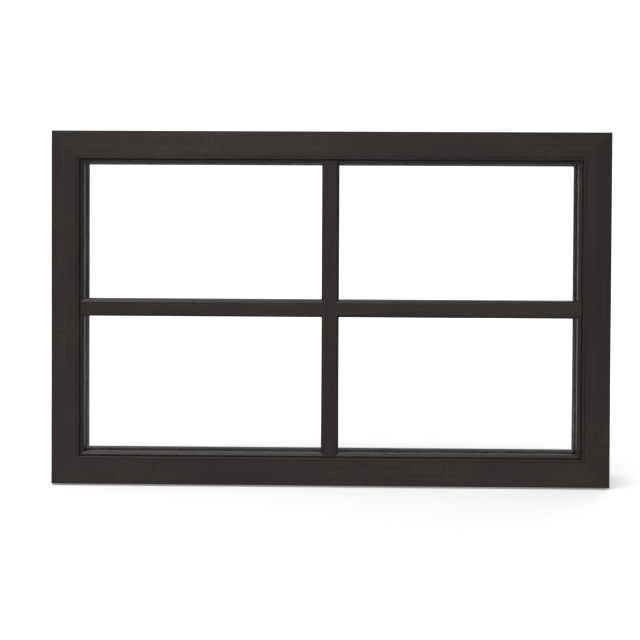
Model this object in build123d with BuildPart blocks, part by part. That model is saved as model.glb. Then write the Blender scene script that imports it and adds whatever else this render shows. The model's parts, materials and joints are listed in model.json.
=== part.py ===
from build123d import *
import os
from math import cos, pi, radians, sin

# Top-hung awning window: a clad timber sash with four equal lights, in front of a slim frame,
# carried by two sliding-shoe hinges and pushed open by a crank operator on the sill.
# Origin: centre of the underside of the sill. X right seen from outside, Y into the room, Z up.

os.makedirs("parts", exist_ok=True)

# --- overall sizes -------------------------------------------------------------------------
WINDOW_W = 914.0          # width of frame and sash
FRAME_H = 584.0           # height of the frame
FRAME_DEPTH = 70.0        # frame depth, half of it each side of the XZ plane
JAMB_T = 20.0
HEAD_T = 20.0
SILL_T = 13.0
SASH_FOOT = 3.0           # sash bottom edge above the frame's underside
SASH_TOP_DROP = 1.0       # sash top edge below the frame's top
SASH_T = 44.0             # sash thickness, face to back
SEAL_GAP = 4.0            # sash back to frame front, bridged by the gasket
FRAME_ARRIS = 1.0         # chamfer on the frame's edges
CUT_OVERRUN = 1.0         # how far a cutting shape passes the piece it cuts

# --- sash section: u runs inward from the outer edge, v runs back from the face ----------------
FACE_U = 41.0             # flat face width
QUIRK_W = 1.2             # fine V between the face and the bead
QUIRK_V = 0.7
BEAD_U = 45.2             # far side of the bead
GROOVE_U = 47.0           # inner foot of the groove
GROOVE_V = 5.0
GROOVE_SLOPE = 0.6        # lean of the groove's outer wall
MOULD_U = 47.8            # top of the glazing moulding
MOULD_V = 3.4
SIGHT_U = 52.5            # sight edge of the outer moulding
BEVEL_V = 7.4             # foot of the moulding's slope
OUTER_R = 1.2             # roundings of the outer edge, bead, moulding, sight edge and timber
QUIRK_R = 0.5
BEAD_R = 1.7
MOULD_R = 0.7
SIGHT_R = 0.9
TIMBER_R = 1.5
STOP_BEVEL = 4.0          # bevel on the room side of the stops and inner bars
CLAD_V = 12.0             # back of the cladding's front plate
CLAD_SIDE_V = 30.0        # how far the cladding wraps round the outer edge
CLAD_SIDE_T = 3.0
CORE_U = 43.0             # inner edge of the timber core, which is the glazing rebate
STOP_U = 54.9             # sight edge of the room-side stops
GLASS_U = 45.0            # edge of the glass, clear of the rebate
TAPE_T = 1.0
PANE_T = 3.0
SPACER_T = 11.0
GLASS_V = 17.0            # front of the outer pane
SPACER_U0 = 45.6
SPACER_U1 = 51.8
BAR_W = 28.6              # glazing bar width, outside
INNER_BAR_W = 26.0        # glazing bar width, room side
SETTING_BLOCK_L = 100.0
CORNER_GAP = 0.3          # between straight bars and gasket runs at a corner
GASKET_T = 3.7            # relaxed gasket thickness
GASKET_W = 6.0
GASKET_LOW = 2.0          # lower run above the sash's bottom edge
GASKET_HIGH = 11.0        # upper run below the sash's top edge
GASKET_END = 7.0          # lower run in from the sash's sides
GASKET_JAMB = 6.0         # side runs out from the jamb's inner face

# --- hinges: everything turns about axes in one plane behind the sash ---------------------------
PIVOT_SETBACK = 24.0      # hinge plane behind the sash back
TOP_PIVOT_DROP = 3.0      # top pivot below the sash's top edge
LOW_PIVOT_RISE = 28.0     # low pivot above the sash's bottom edge
TRACK_D = 5.5             # track channel depth off the jamb
TRACK_W = 16.0
TRACK_WALL = 1.5
TRACK_LIP = 1.2
TRACK_MOUTH = 8.4
TRACK_FOOT_GAP = 1.0      # track's lower end above the sill
TRACK_TOP_GAP = 0.4       # track's upper end below the frame's top
STRAP_T = 2.5             # hinge arm thickness
STRAP_W = 16.0
LEAF_T = 2.0
LEAF_W = 16.0
LEAF_SCREW_IN = 5.0       # leaf screws in from the leaf's plate
LEAF_BACK = 7.0           # leaf past the pivots, towards the room
LEAF_END = 11.0           # leaf below the middle pivot
LEAF_FOOT_R = 6.0
LEAF_TOP_R = 2.0
LEAF_FLANGE_DROP = 22.0   # screwed flange below the sash's top edge
SIDE_GAP = 1.0            # gap between track, arm and leaf
PIVOT_R = 2.5
PIN_HEAD_R = 3.5
RIVET_HEAD_T = 1.4
RUN_FIT = 0.05            # radial clearance of every turning fit
END_PLAY = 0.1            # end clearance of every turning fit
SHOE_L = 58.0
SHOE_CHAMFER = 1.5
SLIDE_FIT = 0.2           # shoe inside the channel
NECK_FIT = 0.3            # shoe's neck in the channel's mouth
NOTCH_CLEAR = 4.0         # head notch beside the leaf
NOTCH_BACK = 9.0          # head notch past the pivots

# --- crank operator -------------------------------------------------------------------------------
MODULE = 0.8
GEAR_TEETH = 60
WORM_MEAN_R = 3.4
WORM_WAVE = 0.8           # thread crest above, and root below, the mean radius
MESH_DISTANCE = 27.6      # worm axis to each gear axis
WORM_LEN = 14.0
TOOTH_ADDENDUM = 0.7
TOOTH_DEDENDUM = 1.1
TOOTH_TIP_W = 0.45
TOOTH_ROOT_W = 1.75
TOOTH_SINK = 0.3          # tooth's root inside the sector
SECTOR_BACK = 6           # whole teeth on the side that comes into mesh as the sash opens
SECTOR_FRONT = 2          # whole teeth past the closed mesh point
SHAFT_R = 3.0
PLATE_T = 2.0             # operator base plate
PLATE_W = 120.0
PLATE_MARGIN = 4.0        # base plate back from the frame's front
PLATE_R = 4.0
PLATE_SCREW_X = 50.0
PLATE_SCREW_FRONT = 10.0  # screws in front of and behind the gear axes
PLATE_SCREW_BACK = 11.0
WORM_WINDOW_W = 11.0      # cut-out in the base plate under the worm
STEP_W = 1.8              # shoulder under each drive arm
CAP_W = 1.4               # cap over each drive arm
DRIVE_GAP = 1.0           # drive arms above the base plate
DRIVE_T = 2.5             # drive arm and link thickness
DRIVE_W = 12.0
LINK_LIFT = 3.5           # from the drive arms' underside to the links' underside
STUD_R = 4.0
HUB_R = 9.0
COLLAR_W = 1.0            # collar beyond the stud, above and below each link
CARRIER_HALF = 36.0
CARRIER_D = 14.0
CARRIER_T = 2.5
CARRIER_R = 5.0
WEB_T = 4.0
BARREL_R = 4.0
HINGE_PIN_R = 2.0
LUG_T = 4.0
LUG_R = 5.0
SIDE_PLAY = 0.5           # carrier between the bracket's lugs
LUG_FIT = 0.2
BRACKET_DROP = 6.0        # bracket below and above the low pivot
BRACKET_RISE = 16.0
HOUSING_W = 64.0
HOUSING_H = 19.0
HOUSING_CORNER_R = 6.0
HOUSING_TOP_R = 3.0
HOUSING_SCREW_X = 24.0
HOUSING_SCREW_Y = 20.0
HOUSING_FRONT = 1.0       # housing's front face behind the frame's middle
HOUSING_REAR_GAP = 1.0    # housing and crank each side of the frame's rear face
CRANK_REACH = 78.0
CRANK_T = 6.0
CRANK_HUB_R = 9.0
CRANK_HUB_L = 12.0
CRANK_LIFT = 3.0          # crank blade back from its hub's front
CRANK_W = 11.0
CRANK_TIP_R = 7.0
CRANK_R = 1.2
KNOB_R = 9.0
KNOB_L = 22.0
KNOB_FOOT_R = 6.5
KNOB_WAIST_R = 7.0
KNOB_TOP_R = 6.0
KNOB_GAP = 0.5            # knob off the blade
KNOB_PIN_PROUD = 1.0      # pin past the crank's knob, before the gap
SET_SCREW_R = 1.2
SET_SCREW_L = 5.4
SET_SCREW_IN = 2.0        # set screw in from the hub's rear face
SCREW_R = 2.0
SCREW_HEAD_R = 3.8
SCREW_HEAD_T = 1.8
SCREW_HEAD_CHAMFER = 0.8
PLATE_HEAD_T = 0.8
HOUSING_HEAD_T = 2.0
SILL_SCREW_L = 9.0        # operator screws into the sill
TRACK_HEAD_R = 3.0
TRACK_HEAD_T = 1.0
TRACK_SCREW_L = 12.0
LEAF_SCREW_L = 16.0
BRACKET_SCREW_X = 30.0
BRACKET_SCREW_RISE = 8.0  # bracket screws above the low pivot
FRAME_SCREW_L = 45.0
FRAME_SCREW_Y = (5.0, 25.0)
MOUNT_HOLE_R = 2.75       # installation screw holes through the jambs
MOUNT_HOLE_Y = 15.0
MOUNT_HOLE_Z = (120.0, 460.0)

# --- places worked out from the sizes ---------------------------------------------------------------
HALF_W = WINDOW_W / 2
FRONT_Y = -FRAME_DEPTH / 2
REAR_Y = FRAME_DEPTH / 2
BACK_Y = FRONT_Y - SEAL_GAP
FACE_Y = BACK_Y - SASH_T
SASH_TOP = FRAME_H - SASH_TOP_DROP
SASH_H = SASH_TOP - SASH_FOOT
SASH_MID = (SASH_TOP + SASH_FOOT) / 2
PIVOT_Y = BACK_Y + PIVOT_SETBACK
TOP_PIVOT_Z = SASH_TOP - TOP_PIVOT_DROP
LOW_PIVOT_Z = SASH_FOOT + LOW_PIVOT_RISE
ARM_L = (TOP_PIVOT_Z - LOW_PIVOT_Z) / 2
MID_PIVOT_Z = LOW_PIVOT_Z + ARM_L
JAMB_X = HALF_W - JAMB_T
TRACK_X = JAMB_X - TRACK_D
STRAP_X = TRACK_X - SIDE_GAP - STRAP_T
LEAF_X = STRAP_X - SIDE_GAP - LEAF_T
NOTCH_X = LEAF_X - NOTCH_CLEAR
INNER_PANE_V = GLASS_V + PANE_T + SPACER_T
STOP_V = INNER_PANE_V + PANE_T
MOULD_SLOPE_U = SIGHT_U - MOULD_U
PITCH = pi * MODULE
PITCH_R = MODULE * GEAR_TEETH / 2
TOOTH_ANGLE = 360.0 / GEAR_TEETH
TIP_R = PITCH_R + TOOTH_ADDENDUM
ROOT_R = PITCH_R - TOOTH_DEDENDUM
DRIVE_Z = SILL_T + PLATE_T + DRIVE_GAP
LINK_Z = DRIVE_Z + LINK_LIFT
WORM_Z = DRIVE_Z + DRIVE_T / 2
ELBOW_X = MESH_DISTANCE + ARM_L
CRANK_Y = REAR_Y + HOUSING_REAR_GAP
BLADE_Y = CRANK_Y + CRANK_LIFT
SET_SCREW_Y = CRANK_Y + CRANK_HUB_L - SET_SCREW_IN
HOUSING_Y = (HOUSING_FRONT, REAR_Y - HOUSING_REAR_GAP)
PLATE_SCREW_Y = (PIVOT_Y - PLATE_SCREW_FRONT, PIVOT_Y + PLATE_SCREW_BACK)
LUG_END = CARRIER_HALF + LUG_T
LUG_FACE = CARRIER_HALF - SIDE_PLAY
SIDES = (("left", -1), ("right", 1))


# --- helpers ------------------------------------------------------------------------------------------
def block(x, y, z, mode=Mode.ADD):
    """Box between two limits on each axis."""
    middle = [(low + high) / 2 for low, high in (x, y, z)]
    with Locations(tuple(middle)):
        Box(abs(x[1] - x[0]), abs(y[1] - y[0]), abs(z[1] - z[0]), mode=mode)


def rod(axis, low, high, centre, radius, mode=Mode.ADD):
    """Cylinder along an axis between two limits; centre holds the other two coordinates in order."""
    middle = (low + high) / 2
    turn = {"x": (0, 90, 0), "y": (90, 0, 0), "z": (0, 0, 0)}[axis]
    place = list(centre)
    place.insert("xyz".index(axis), middle)
    with Locations(Location(tuple(place), turn)):
        Cylinder(radius, abs(high - low), mode=mode)


def finish(solid, name):
    """Label one piece and write its STEP file."""
    solid.label = name
    export_step(solid, f"parts/{name}.step")


def sash_side(side):
    """Plane across one sash member, x running inward and y running back, and the member's length."""
    if side == "bottom":
        return Plane(origin=(0, FACE_Y, SASH_FOOT), x_dir=(0, 0, 1), z_dir=(-1, 0, 0)), WINDOW_W
    if side == "top":
        return Plane(origin=(0, FACE_Y, SASH_TOP), x_dir=(0, 0, -1), z_dir=(1, 0, 0)), WINDOW_W
    if side == "left":
        return Plane(origin=(-HALF_W, FACE_Y, SASH_MID), x_dir=(1, 0, 0), z_dir=(0, 0, 1)), SASH_H
    return Plane(origin=(HALF_W, FACE_Y, SASH_MID), x_dir=(-1, 0, 0), z_dir=(0, 0, -1)), SASH_H


def sash_member(side, outline, roundings):
    """One sash member: a section along a side, mitred at both ends. Roundings are (u, v, radius)."""
    plane, length = sash_side(side)
    with BuildPart() as member:
        with BuildSketch(plane) as section:
            Polygon(*outline, align=None)
            for u, v, radius in roundings:
                fillet(section.vertices().sort_by_distance((u, v))[0], radius=radius)
        extrude(amount=length / 2, both=True)
        for end in (-1, 1):
            corner = plane.origin + plane.z_dir * (end * length / 2)
            mitre = Plane(origin=corner, z_dir=plane.x_dir + plane.z_dir * end)
            split(bisect_by=mitre, keep=Keep.BOTTOM)
    return member.part


def straight_bars(u_range, v_range):
    """Four separate straight bars round the sash, between limits of u and v."""
    y = [FACE_Y + v for v in v_range]
    for low, high in ((SASH_FOOT + u_range[0], SASH_FOOT + u_range[1]),
                      (SASH_TOP - u_range[1], SASH_TOP - u_range[0])):
        block((u_range[0] - HALF_W, HALF_W - u_range[0]), y, (low, high))
    for low, high in ((u_range[0] - HALF_W, u_range[1] - HALF_W),
                      (HALF_W - u_range[1], HALF_W - u_range[0])):
        z = (SASH_FOOT + u_range[1] + CORNER_GAP, SASH_TOP - u_range[1] - CORNER_GAP)
        block((low, high), y, z)


# --- fixed frame --------------------------------------------------------------------------------------
FRAME_SCREW_Z = (SILL_T / 2, FRAME_H - HEAD_T / 2)
TRACK_SCREW_Z = [LOW_PIVOT_Z + share * ARM_L for share in (0.1, 0.5, 0.9, 1.3)]

with BuildPart() as sill:
    block((-JAMB_X, JAMB_X), (FRONT_Y, REAR_Y), (0, SILL_T))
    chamfer(sill.edges().filter_by(Axis.X).group_by(Axis.Z)[-1], length=FRAME_ARRIS)
    for sign in (-1, 1):
        for y in FRAME_SCREW_Y:
            start = sign * JAMB_X
            rod("x", start, start - sign * (FRAME_SCREW_L - JAMB_T), (y, FRAME_SCREW_Z[0]), SCREW_R,
                mode=Mode.SUBTRACT)
        for y in PLATE_SCREW_Y:
            rod("z", SILL_T - SILL_SCREW_L, SILL_T, (sign * PLATE_SCREW_X, y), SCREW_R, mode=Mode.SUBTRACT)
        rod("z", SILL_T - SILL_SCREW_L, SILL_T, (sign * HOUSING_SCREW_X, HOUSING_SCREW_Y), SCREW_R,
            mode=Mode.SUBTRACT)
finish(sill.part, "sill")

with BuildPart() as head:
    block((-JAMB_X, JAMB_X), (FRONT_Y, REAR_Y), (FRAME_H - HEAD_T, FRAME_H))
    chamfer(head.edges().filter_by(Axis.X).group_by(Axis.Z)[0], length=FRAME_ARRIS)
    for sign in (-1, 1):
        block((sign * NOTCH_X, sign * JAMB_X), (FRONT_Y, PIVOT_Y + NOTCH_BACK), (FRAME_H - HEAD_T, FRAME_H),
              mode=Mode.SUBTRACT)
        for y in FRAME_SCREW_Y:
            start = sign * JAMB_X
            rod("x", start, start - sign * (FRAME_SCREW_L - JAMB_T), (y, FRAME_SCREW_Z[1]), SCREW_R,
                mode=Mode.SUBTRACT)
finish(head.part, "head")

for side, sign in SIDES:
    with BuildPart() as jamb:
        block((sign * JAMB_X, sign * HALF_W), (FRONT_Y, REAR_Y), (0, FRAME_H))
        chamfer(jamb.edges().filter_by(Axis.Z), length=FRAME_ARRIS)
        for z in FRAME_SCREW_Z:
            for y in FRAME_SCREW_Y:
                rod("x", sign * JAMB_X, sign * HALF_W, (y, z), SCREW_R, mode=Mode.SUBTRACT)
        for z in MOUNT_HOLE_Z:
            rod("x", sign * JAMB_X, sign * HALF_W, (MOUNT_HOLE_Y, z), MOUNT_HOLE_R, mode=Mode.SUBTRACT)
        for z in TRACK_SCREW_Z:
            start = sign * JAMB_X
            rod("x", start, start + sign * TRACK_SCREW_L, (PIVOT_Y, z), SCREW_R, mode=Mode.SUBTRACT)
    finish(jamb.part, f"jamb_{side}")

with BuildPart() as frame_screws:
    for _, sign in SIDES:
        for z in FRAME_SCREW_Z:
            for y in FRAME_SCREW_Y:
                start = sign * HALF_W
                rod("x", start, start - sign * FRAME_SCREW_L, (y, z), SCREW_R)
finish(frame_screws.part, "frame_screws")

# Hinge track: a C channel on each jamb, its mouth facing the opening.
for side, sign in SIDES:
    half = TRACK_W / 2
    mouth = TRACK_MOUTH / 2
    with BuildPart() as track:
        with BuildSketch(Plane.XY.offset(SILL_T + TRACK_FOOT_GAP)):
            with Locations((sign * (JAMB_X - TRACK_D / 2), PIVOT_Y)):
                Rectangle(TRACK_D, TRACK_W)
            with Locations((sign * (TRACK_X + (TRACK_D - TRACK_WALL + TRACK_LIP) / 2), PIVOT_Y)):
                Rectangle(TRACK_D - TRACK_WALL - TRACK_LIP, TRACK_W - 2 * TRACK_WALL, mode=Mode.SUBTRACT)
            with Locations((sign * (TRACK_X + TRACK_LIP / 2), PIVOT_Y)):
                Rectangle(TRACK_LIP, TRACK_MOUTH, mode=Mode.SUBTRACT)
        extrude(amount=FRAME_H - TRACK_TOP_GAP - SILL_T - TRACK_FOOT_GAP)
        for z in TRACK_SCREW_Z:
            rod("x", sign * (JAMB_X - TRACK_WALL), sign * JAMB_X, (PIVOT_Y, z), SCREW_R, mode=Mode.SUBTRACT)
        rod("x", sign * (JAMB_X - TRACK_WALL), sign * JAMB_X, (PIVOT_Y, LOW_PIVOT_Z), PIVOT_R,
            mode=Mode.SUBTRACT)
    finish(track.part, f"hinge_track_{side}")

    # Low pivot: a shouldered rivet from the track's base through the hinge arm.
    with BuildPart() as low_pivot:
        shoulder = sign * (STRAP_X + STRAP_T + END_PLAY)
        head_foot = sign * (STRAP_X - END_PLAY)
        rod("x", sign * JAMB_X, head_foot, (PIVOT_Y, LOW_PIVOT_Z), PIVOT_R)
        rod("x", sign * (JAMB_X - TRACK_WALL), shoulder, (PIVOT_Y, LOW_PIVOT_Z), PIN_HEAD_R)
        rod("x", head_foot, head_foot - sign * RIVET_HEAD_T, (PIVOT_Y, LOW_PIVOT_Z), PIN_HEAD_R)
    finish(low_pivot.part, f"low_pivot_{side}")

with BuildPart() as track_screws:
    for _, sign in SIDES:
        for z in TRACK_SCREW_Z:
            start = sign * (JAMB_X - TRACK_WALL)
            rod("x", start, sign * (JAMB_X + TRACK_SCREW_L), (PIVOT_Y, z), SCREW_R)
            rod("x", start, start - sign * TRACK_HEAD_T, (PIVOT_Y, z), TRACK_HEAD_R)
finish(track_screws.part, "track_screws")

# --- sash: cladding, timber cores and room-side stops, mitred at the corners ---------------------------
def clad_outline(moulding_back):
    """Cladding section, with the back of its glazing moulding at a given depth."""
    return [
        (0, 0), (FACE_U, 0), (FACE_U + QUIRK_W / 2, QUIRK_V), (FACE_U + QUIRK_W, 0), (BEAD_U, 0),
        (BEAD_U + GROOVE_SLOPE, GROOVE_V), (GROOVE_U, GROOVE_V), (MOULD_U, MOULD_V), (SIGHT_U, BEVEL_V),
        (SIGHT_U, moulding_back), (CORE_U, moulding_back), (CORE_U, CLAD_V),
        (CLAD_SIDE_T, CLAD_V), (CLAD_SIDE_T, CLAD_SIDE_V), (0, CLAD_SIDE_V),
    ]


CLAD_ROUNDINGS = [(0, 0, OUTER_R), (FACE_U + QUIRK_W, 0, QUIRK_R), (BEAD_U, 0, BEAD_R),
                  (MOULD_U, MOULD_V, MOULD_R), (SIGHT_U, BEVEL_V, SIGHT_R)]
CORE_OUTLINE = [
    (CLAD_SIDE_T, CLAD_V), (CORE_U, CLAD_V), (CORE_U, SASH_T), (0, SASH_T),
    (0, CLAD_SIDE_V), (CLAD_SIDE_T, CLAD_SIDE_V),
]
CORE_ROUNDINGS = [(0, SASH_T, TIMBER_R)]
STOP_OUTLINE = [(CORE_U, STOP_V), (STOP_U, STOP_V), (STOP_U, SASH_T - STOP_BEVEL),
                (STOP_U - STOP_BEVEL, SASH_T), (CORE_U, SASH_T)]
STOP_ROUNDINGS = [(STOP_U, SASH_T - STOP_BEVEL, TIMBER_R), (STOP_U - STOP_BEVEL, SASH_T, TIMBER_R)]

LEAF_SCREW_Z = [MID_PIVOT_Z + share * (TOP_PIVOT_Z - MID_PIVOT_Z) for share in (0.1, 0.45, 0.8)]
LEAF_SCREW_X = LEAF_X - LEAF_SCREW_IN
BRACKET_SCREW_Z = LOW_PIVOT_Z + BRACKET_SCREW_RISE

cope = {}                 # what the glazing bars are coped to: the cladding with its tape
for side in ("bottom", "top", "left", "right"):
    finish(sash_member(side, clad_outline(GLASS_V - TAPE_T), CLAD_ROUNDINGS), f"sash_cladding_{side}")
    cope[side] = sash_member(side, clad_outline(GLASS_V), CLAD_ROUNDINGS)

    with BuildPart() as core:
        add(sash_member(side, CORE_OUTLINE, CORE_ROUNDINGS))
        if side in ("left", "right"):
            sign = dict(SIDES)[side]
            for z in LEAF_SCREW_Z:
                rod("y", BACK_Y - LEAF_SCREW_L, BACK_Y, (sign * LEAF_SCREW_X, z), SCREW_R,
                    mode=Mode.SUBTRACT)
        if side == "bottom":
            for sign in (-1, 1):
                rod("y", BACK_Y - LEAF_SCREW_L, BACK_Y, (sign * BRACKET_SCREW_X, BRACKET_SCREW_Z), SCREW_R,
                    mode=Mode.SUBTRACT)
    finish(core.part, f"sash_core_{side}")
    finish(sash_member(side, STOP_OUTLINE, STOP_ROUNDINGS), f"glazing_stop_{side}")

# --- insulating glass, its spacer, tapes and setting blocks --------------------------------------------
for name, front in (("glass_outer", GLASS_V), ("glass_inner", INNER_PANE_V)):
    with BuildPart() as pane:
        block((GLASS_U - HALF_W, HALF_W - GLASS_U), (FACE_Y + front, FACE_Y + front + PANE_T),
              (SASH_FOOT + GLASS_U, SASH_TOP - GLASS_U))
    finish(pane.part, name)

with BuildPart() as spacer:
    straight_bars((SPACER_U0, SPACER_U1), (GLASS_V + PANE_T, INNER_PANE_V))
finish(spacer.part, "glass_spacer")

with BuildPart() as tape:
    straight_bars((SPACER_U0, SPACER_U1), (GLASS_V - TAPE_T, GLASS_V))
finish(tape.part, "glazing_tape")

with BuildPart() as setting_blocks:
    for sign in (-1, 1):
        middle = sign * WINDOW_W / 4
        block((middle - SETTING_BLOCK_L / 2, middle + SETTING_BLOCK_L / 2),
              (FACE_Y + GLASS_V, FACE_Y + STOP_V), (SASH_FOOT + CORE_U, SASH_FOOT + GLASS_U))
finish(setting_blocks.part, "setting_blocks")

# --- glazing bars: flat fronts with the same slope as the moulding, coped over it -------------------------
FLAT_HALF = BAR_W / 2 - MOULD_SLOPE_U
BAR_OUTLINE = [(-BAR_W / 2, GLASS_V), (-BAR_W / 2, BEVEL_V), (-FLAT_HALF, MOULD_V), (FLAT_HALF, MOULD_V),
               (BAR_W / 2, BEVEL_V), (BAR_W / 2, GLASS_V)]
# The space the upright takes out of the level bars, open in front of its flat and behind it.
CROSSING_OUTLINE = [
    (-BAR_W / 2, GLASS_V + CUT_OVERRUN), (-BAR_W / 2, BEVEL_V), (-FLAT_HALF, MOULD_V),
    (-FLAT_HALF, MOULD_V - CUT_OVERRUN), (FLAT_HALF, MOULD_V - CUT_OVERRUN), (FLAT_HALF, MOULD_V),
    (BAR_W / 2, BEVEL_V), (BAR_W / 2, GLASS_V + CUT_OVERRUN),
]
BAR_ROUNDINGS = [(x * sign, v, r) for sign in (-1, 1)
                 for x, v, r in ((FLAT_HALF, MOULD_V, MOULD_R), (BAR_W / 2, BEVEL_V, SIGHT_R))]
INNER_OUTLINE = [
    (-INNER_BAR_W / 2, STOP_V), (INNER_BAR_W / 2, STOP_V), (INNER_BAR_W / 2, SASH_T - STOP_BEVEL),
    (INNER_BAR_W / 2 - STOP_BEVEL, SASH_T), (STOP_BEVEL - INNER_BAR_W / 2, SASH_T),
    (-INNER_BAR_W / 2, SASH_T - STOP_BEVEL),
]
UPRIGHT = Plane(origin=(0, FACE_Y, SASH_MID), x_dir=(1, 0, 0), z_dir=(0, 0, 1))
LEVEL = Plane(origin=(0, FACE_Y, SASH_MID), x_dir=(0, 0, -1), z_dir=(1, 0, 0))
INNER_JOINT = INNER_BAR_W / 2


def bar(plane, outline, roundings, start, end, cuts):
    """Glazing bar along a plane's normal from start to end, coped to the pieces it meets."""
    with BuildPart() as piece:
        with BuildSketch(plane.offset(start)) as section:
            Polygon(*outline, align=None)
            for x, v, radius in roundings:
                fillet(section.vertices().sort_by_distance((x, v))[0], radius=radius)
        extrude(amount=end - start)
        for other in cuts:
            add(other, mode=Mode.SUBTRACT)
    return piece.part


bar_end_z = SASH_H / 2 - GROOVE_U
bar_end_x = HALF_W - GROOVE_U
upright_space = bar(UPRIGHT, CROSSING_OUTLINE, [], -BAR_W, BAR_W, ())
finish(bar(UPRIGHT, BAR_OUTLINE, BAR_ROUNDINGS, -bar_end_z, bar_end_z, (cope["top"], cope["bottom"])),
       "glazing_bar_upright")
finish(bar(LEVEL, BAR_OUTLINE, BAR_ROUNDINGS, -bar_end_x, 0, (cope["left"], upright_space)),
       "glazing_bar_left")
finish(bar(LEVEL, BAR_OUTLINE, BAR_ROUNDINGS, 0, bar_end_x, (cope["right"], upright_space)),
       "glazing_bar_right")

inner_end_z = SASH_H / 2 - STOP_U
inner_end_x = HALF_W - STOP_U
finish(bar(UPRIGHT, INNER_OUTLINE, [], -inner_end_z, inner_end_z, ()), "inner_bar_upright")
finish(bar(LEVEL, INNER_OUTLINE, [], -inner_end_x, -INNER_JOINT, ()), "inner_bar_left")
finish(bar(LEVEL, INNER_OUTLINE, [], INNER_JOINT, inner_end_x, ()), "inner_bar_right")

# --- gasket on the sash back, in four straight runs ------------------------------------------------------
GASKET_Y = (BACK_Y, BACK_Y + GASKET_T)
with BuildPart() as gasket:
    low_run = (SASH_FOOT + GASKET_LOW, SASH_FOOT + GASKET_LOW + GASKET_W)
    high_run = (SASH_TOP - GASKET_HIGH - GASKET_W, SASH_TOP - GASKET_HIGH)
    block((GASKET_END - HALF_W, HALF_W - GASKET_END), GASKET_Y, low_run)
    block((CORNER_GAP - NOTCH_X, NOTCH_X - CORNER_GAP), GASKET_Y, high_run)
    for sign in (-1, 1):
        x = (sign * (JAMB_X + GASKET_JAMB), sign * (JAMB_X + GASKET_JAMB + GASKET_W))
        block(x, GASKET_Y, (low_run[1] + CORNER_GAP, high_run[1]))
finish(gasket.part, "sash_gasket")

# --- hinge hardware, one set each side ---------------------------------------------------------------------
ACROSS_X = Plane(origin=(0, 0, 0), x_dir=(0, 1, 0), z_dir=(1, 0, 0))
LEAF_FOOT = MID_PIVOT_Z - LEAF_END
for side, sign in SIDES:
    # Leaf: an angle screwed to the sash back, with a flange that reaches back to the pivots.
    with BuildPart() as leaf:
        block((sign * LEAF_X, sign * (LEAF_X + LEAF_T)), (BACK_Y, PIVOT_Y + LEAF_BACK), (LEAF_FOOT, SASH_TOP))
        corners = leaf.edges().filter_by(Axis.X).group_by(Axis.Y)[-1]
        fillet(corners.sort_by(Axis.Z)[0], radius=LEAF_FOOT_R)
        fillet(leaf.edges().filter_by(Axis.X).group_by(Axis.Y)[-1].sort_by(Axis.Z)[-1], radius=LEAF_TOP_R)
        block((sign * (LEAF_X + LEAF_T - LEAF_W), sign * (LEAF_X + LEAF_T)), (BACK_Y, BACK_Y + LEAF_T),
              (LEAF_FOOT, SASH_TOP - LEAF_FLANGE_DROP))
        for z in LEAF_SCREW_Z:
            rod("y", BACK_Y, BACK_Y + LEAF_T, (sign * LEAF_SCREW_X, z), SCREW_R, mode=Mode.SUBTRACT)
        for z in (MID_PIVOT_Z, TOP_PIVOT_Z):
            rod("x", sign * LEAF_X, sign * (LEAF_X + LEAF_T), (PIVOT_Y, z), PIVOT_R + RUN_FIT,
                mode=Mode.SUBTRACT)
    finish(leaf.part, f"hinge_leaf_{side}")

    with BuildPart() as strap:
        with BuildSketch(ACROSS_X.offset(sign * STRAP_X)):
            with Locations((PIVOT_Y, (LOW_PIVOT_Z + MID_PIVOT_Z) / 2)):
                SlotCenterToCenter(ARM_L, STRAP_W, rotation=90)
        extrude(amount=sign * STRAP_T)
        rod("x", sign * STRAP_X, sign * (STRAP_X + STRAP_T), (PIVOT_Y, LOW_PIVOT_Z), PIVOT_R + RUN_FIT,
            mode=Mode.SUBTRACT)
        rod("x", sign * STRAP_X, sign * (STRAP_X + STRAP_T), (PIVOT_Y, MID_PIVOT_Z), PIVOT_R,
            mode=Mode.SUBTRACT)
    finish(strap.part, f"hinge_arm_{side}")

    # Middle pivot: a rivet fixed in the arm, with a spacing collar, headed inside the leaf.
    with BuildPart() as mid_pivot:
        collar_end = sign * (STRAP_X - SIDE_GAP + END_PLAY)
        head_foot = sign * (LEAF_X - END_PLAY)
        rod("x", sign * (STRAP_X + STRAP_T), head_foot, (PIVOT_Y, MID_PIVOT_Z), PIVOT_R)
        rod("x", sign * STRAP_X, collar_end, (PIVOT_Y, MID_PIVOT_Z), PIN_HEAD_R)
        rod("x", head_foot, head_foot - sign * RIVET_HEAD_T, (PIVOT_Y, MID_PIVOT_Z), PIN_HEAD_R)
    finish(mid_pivot.part, f"middle_pivot_{side}")

    # Shoe: a nylon slide in the track, with its own pin through the top of the leaf.
    with BuildPart() as shoe:
        neck = TRACK_MOUTH / 2 - NECK_FIT
        wide = TRACK_W / 2 - TRACK_WALL - SLIDE_FIT
        base = JAMB_X - TRACK_WALL - SLIDE_FIT
        step = TRACK_X + TRACK_LIP + SLIDE_FIT
        front = TRACK_X - NECK_FIT
        top = TOP_PIVOT_Z + PIN_HEAD_R
        head_foot = sign * (LEAF_X - END_PLAY)
        block((sign * step, sign * base), (PIVOT_Y - wide, PIVOT_Y + wide), (top - SHOE_L, top))
        chamfer(shoe.edges().filter_by(Axis.X), length=SHOE_CHAMFER)
        block((sign * front, sign * step), (PIVOT_Y - neck, PIVOT_Y + neck), (top - SHOE_L, top - SLIDE_FIT))
        rod("x", sign * front, head_foot, (PIVOT_Y, TOP_PIVOT_Z), PIVOT_R)
        rod("x", sign * front, sign * (LEAF_X + LEAF_T + END_PLAY), (PIVOT_Y, TOP_PIVOT_Z), PIN_HEAD_R)
        rod("x", head_foot, head_foot - sign * RIVET_HEAD_T, (PIVOT_Y, TOP_PIVOT_Z), PIN_HEAD_R)
    finish(shoe.part, f"hinge_shoe_{side}")

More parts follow.
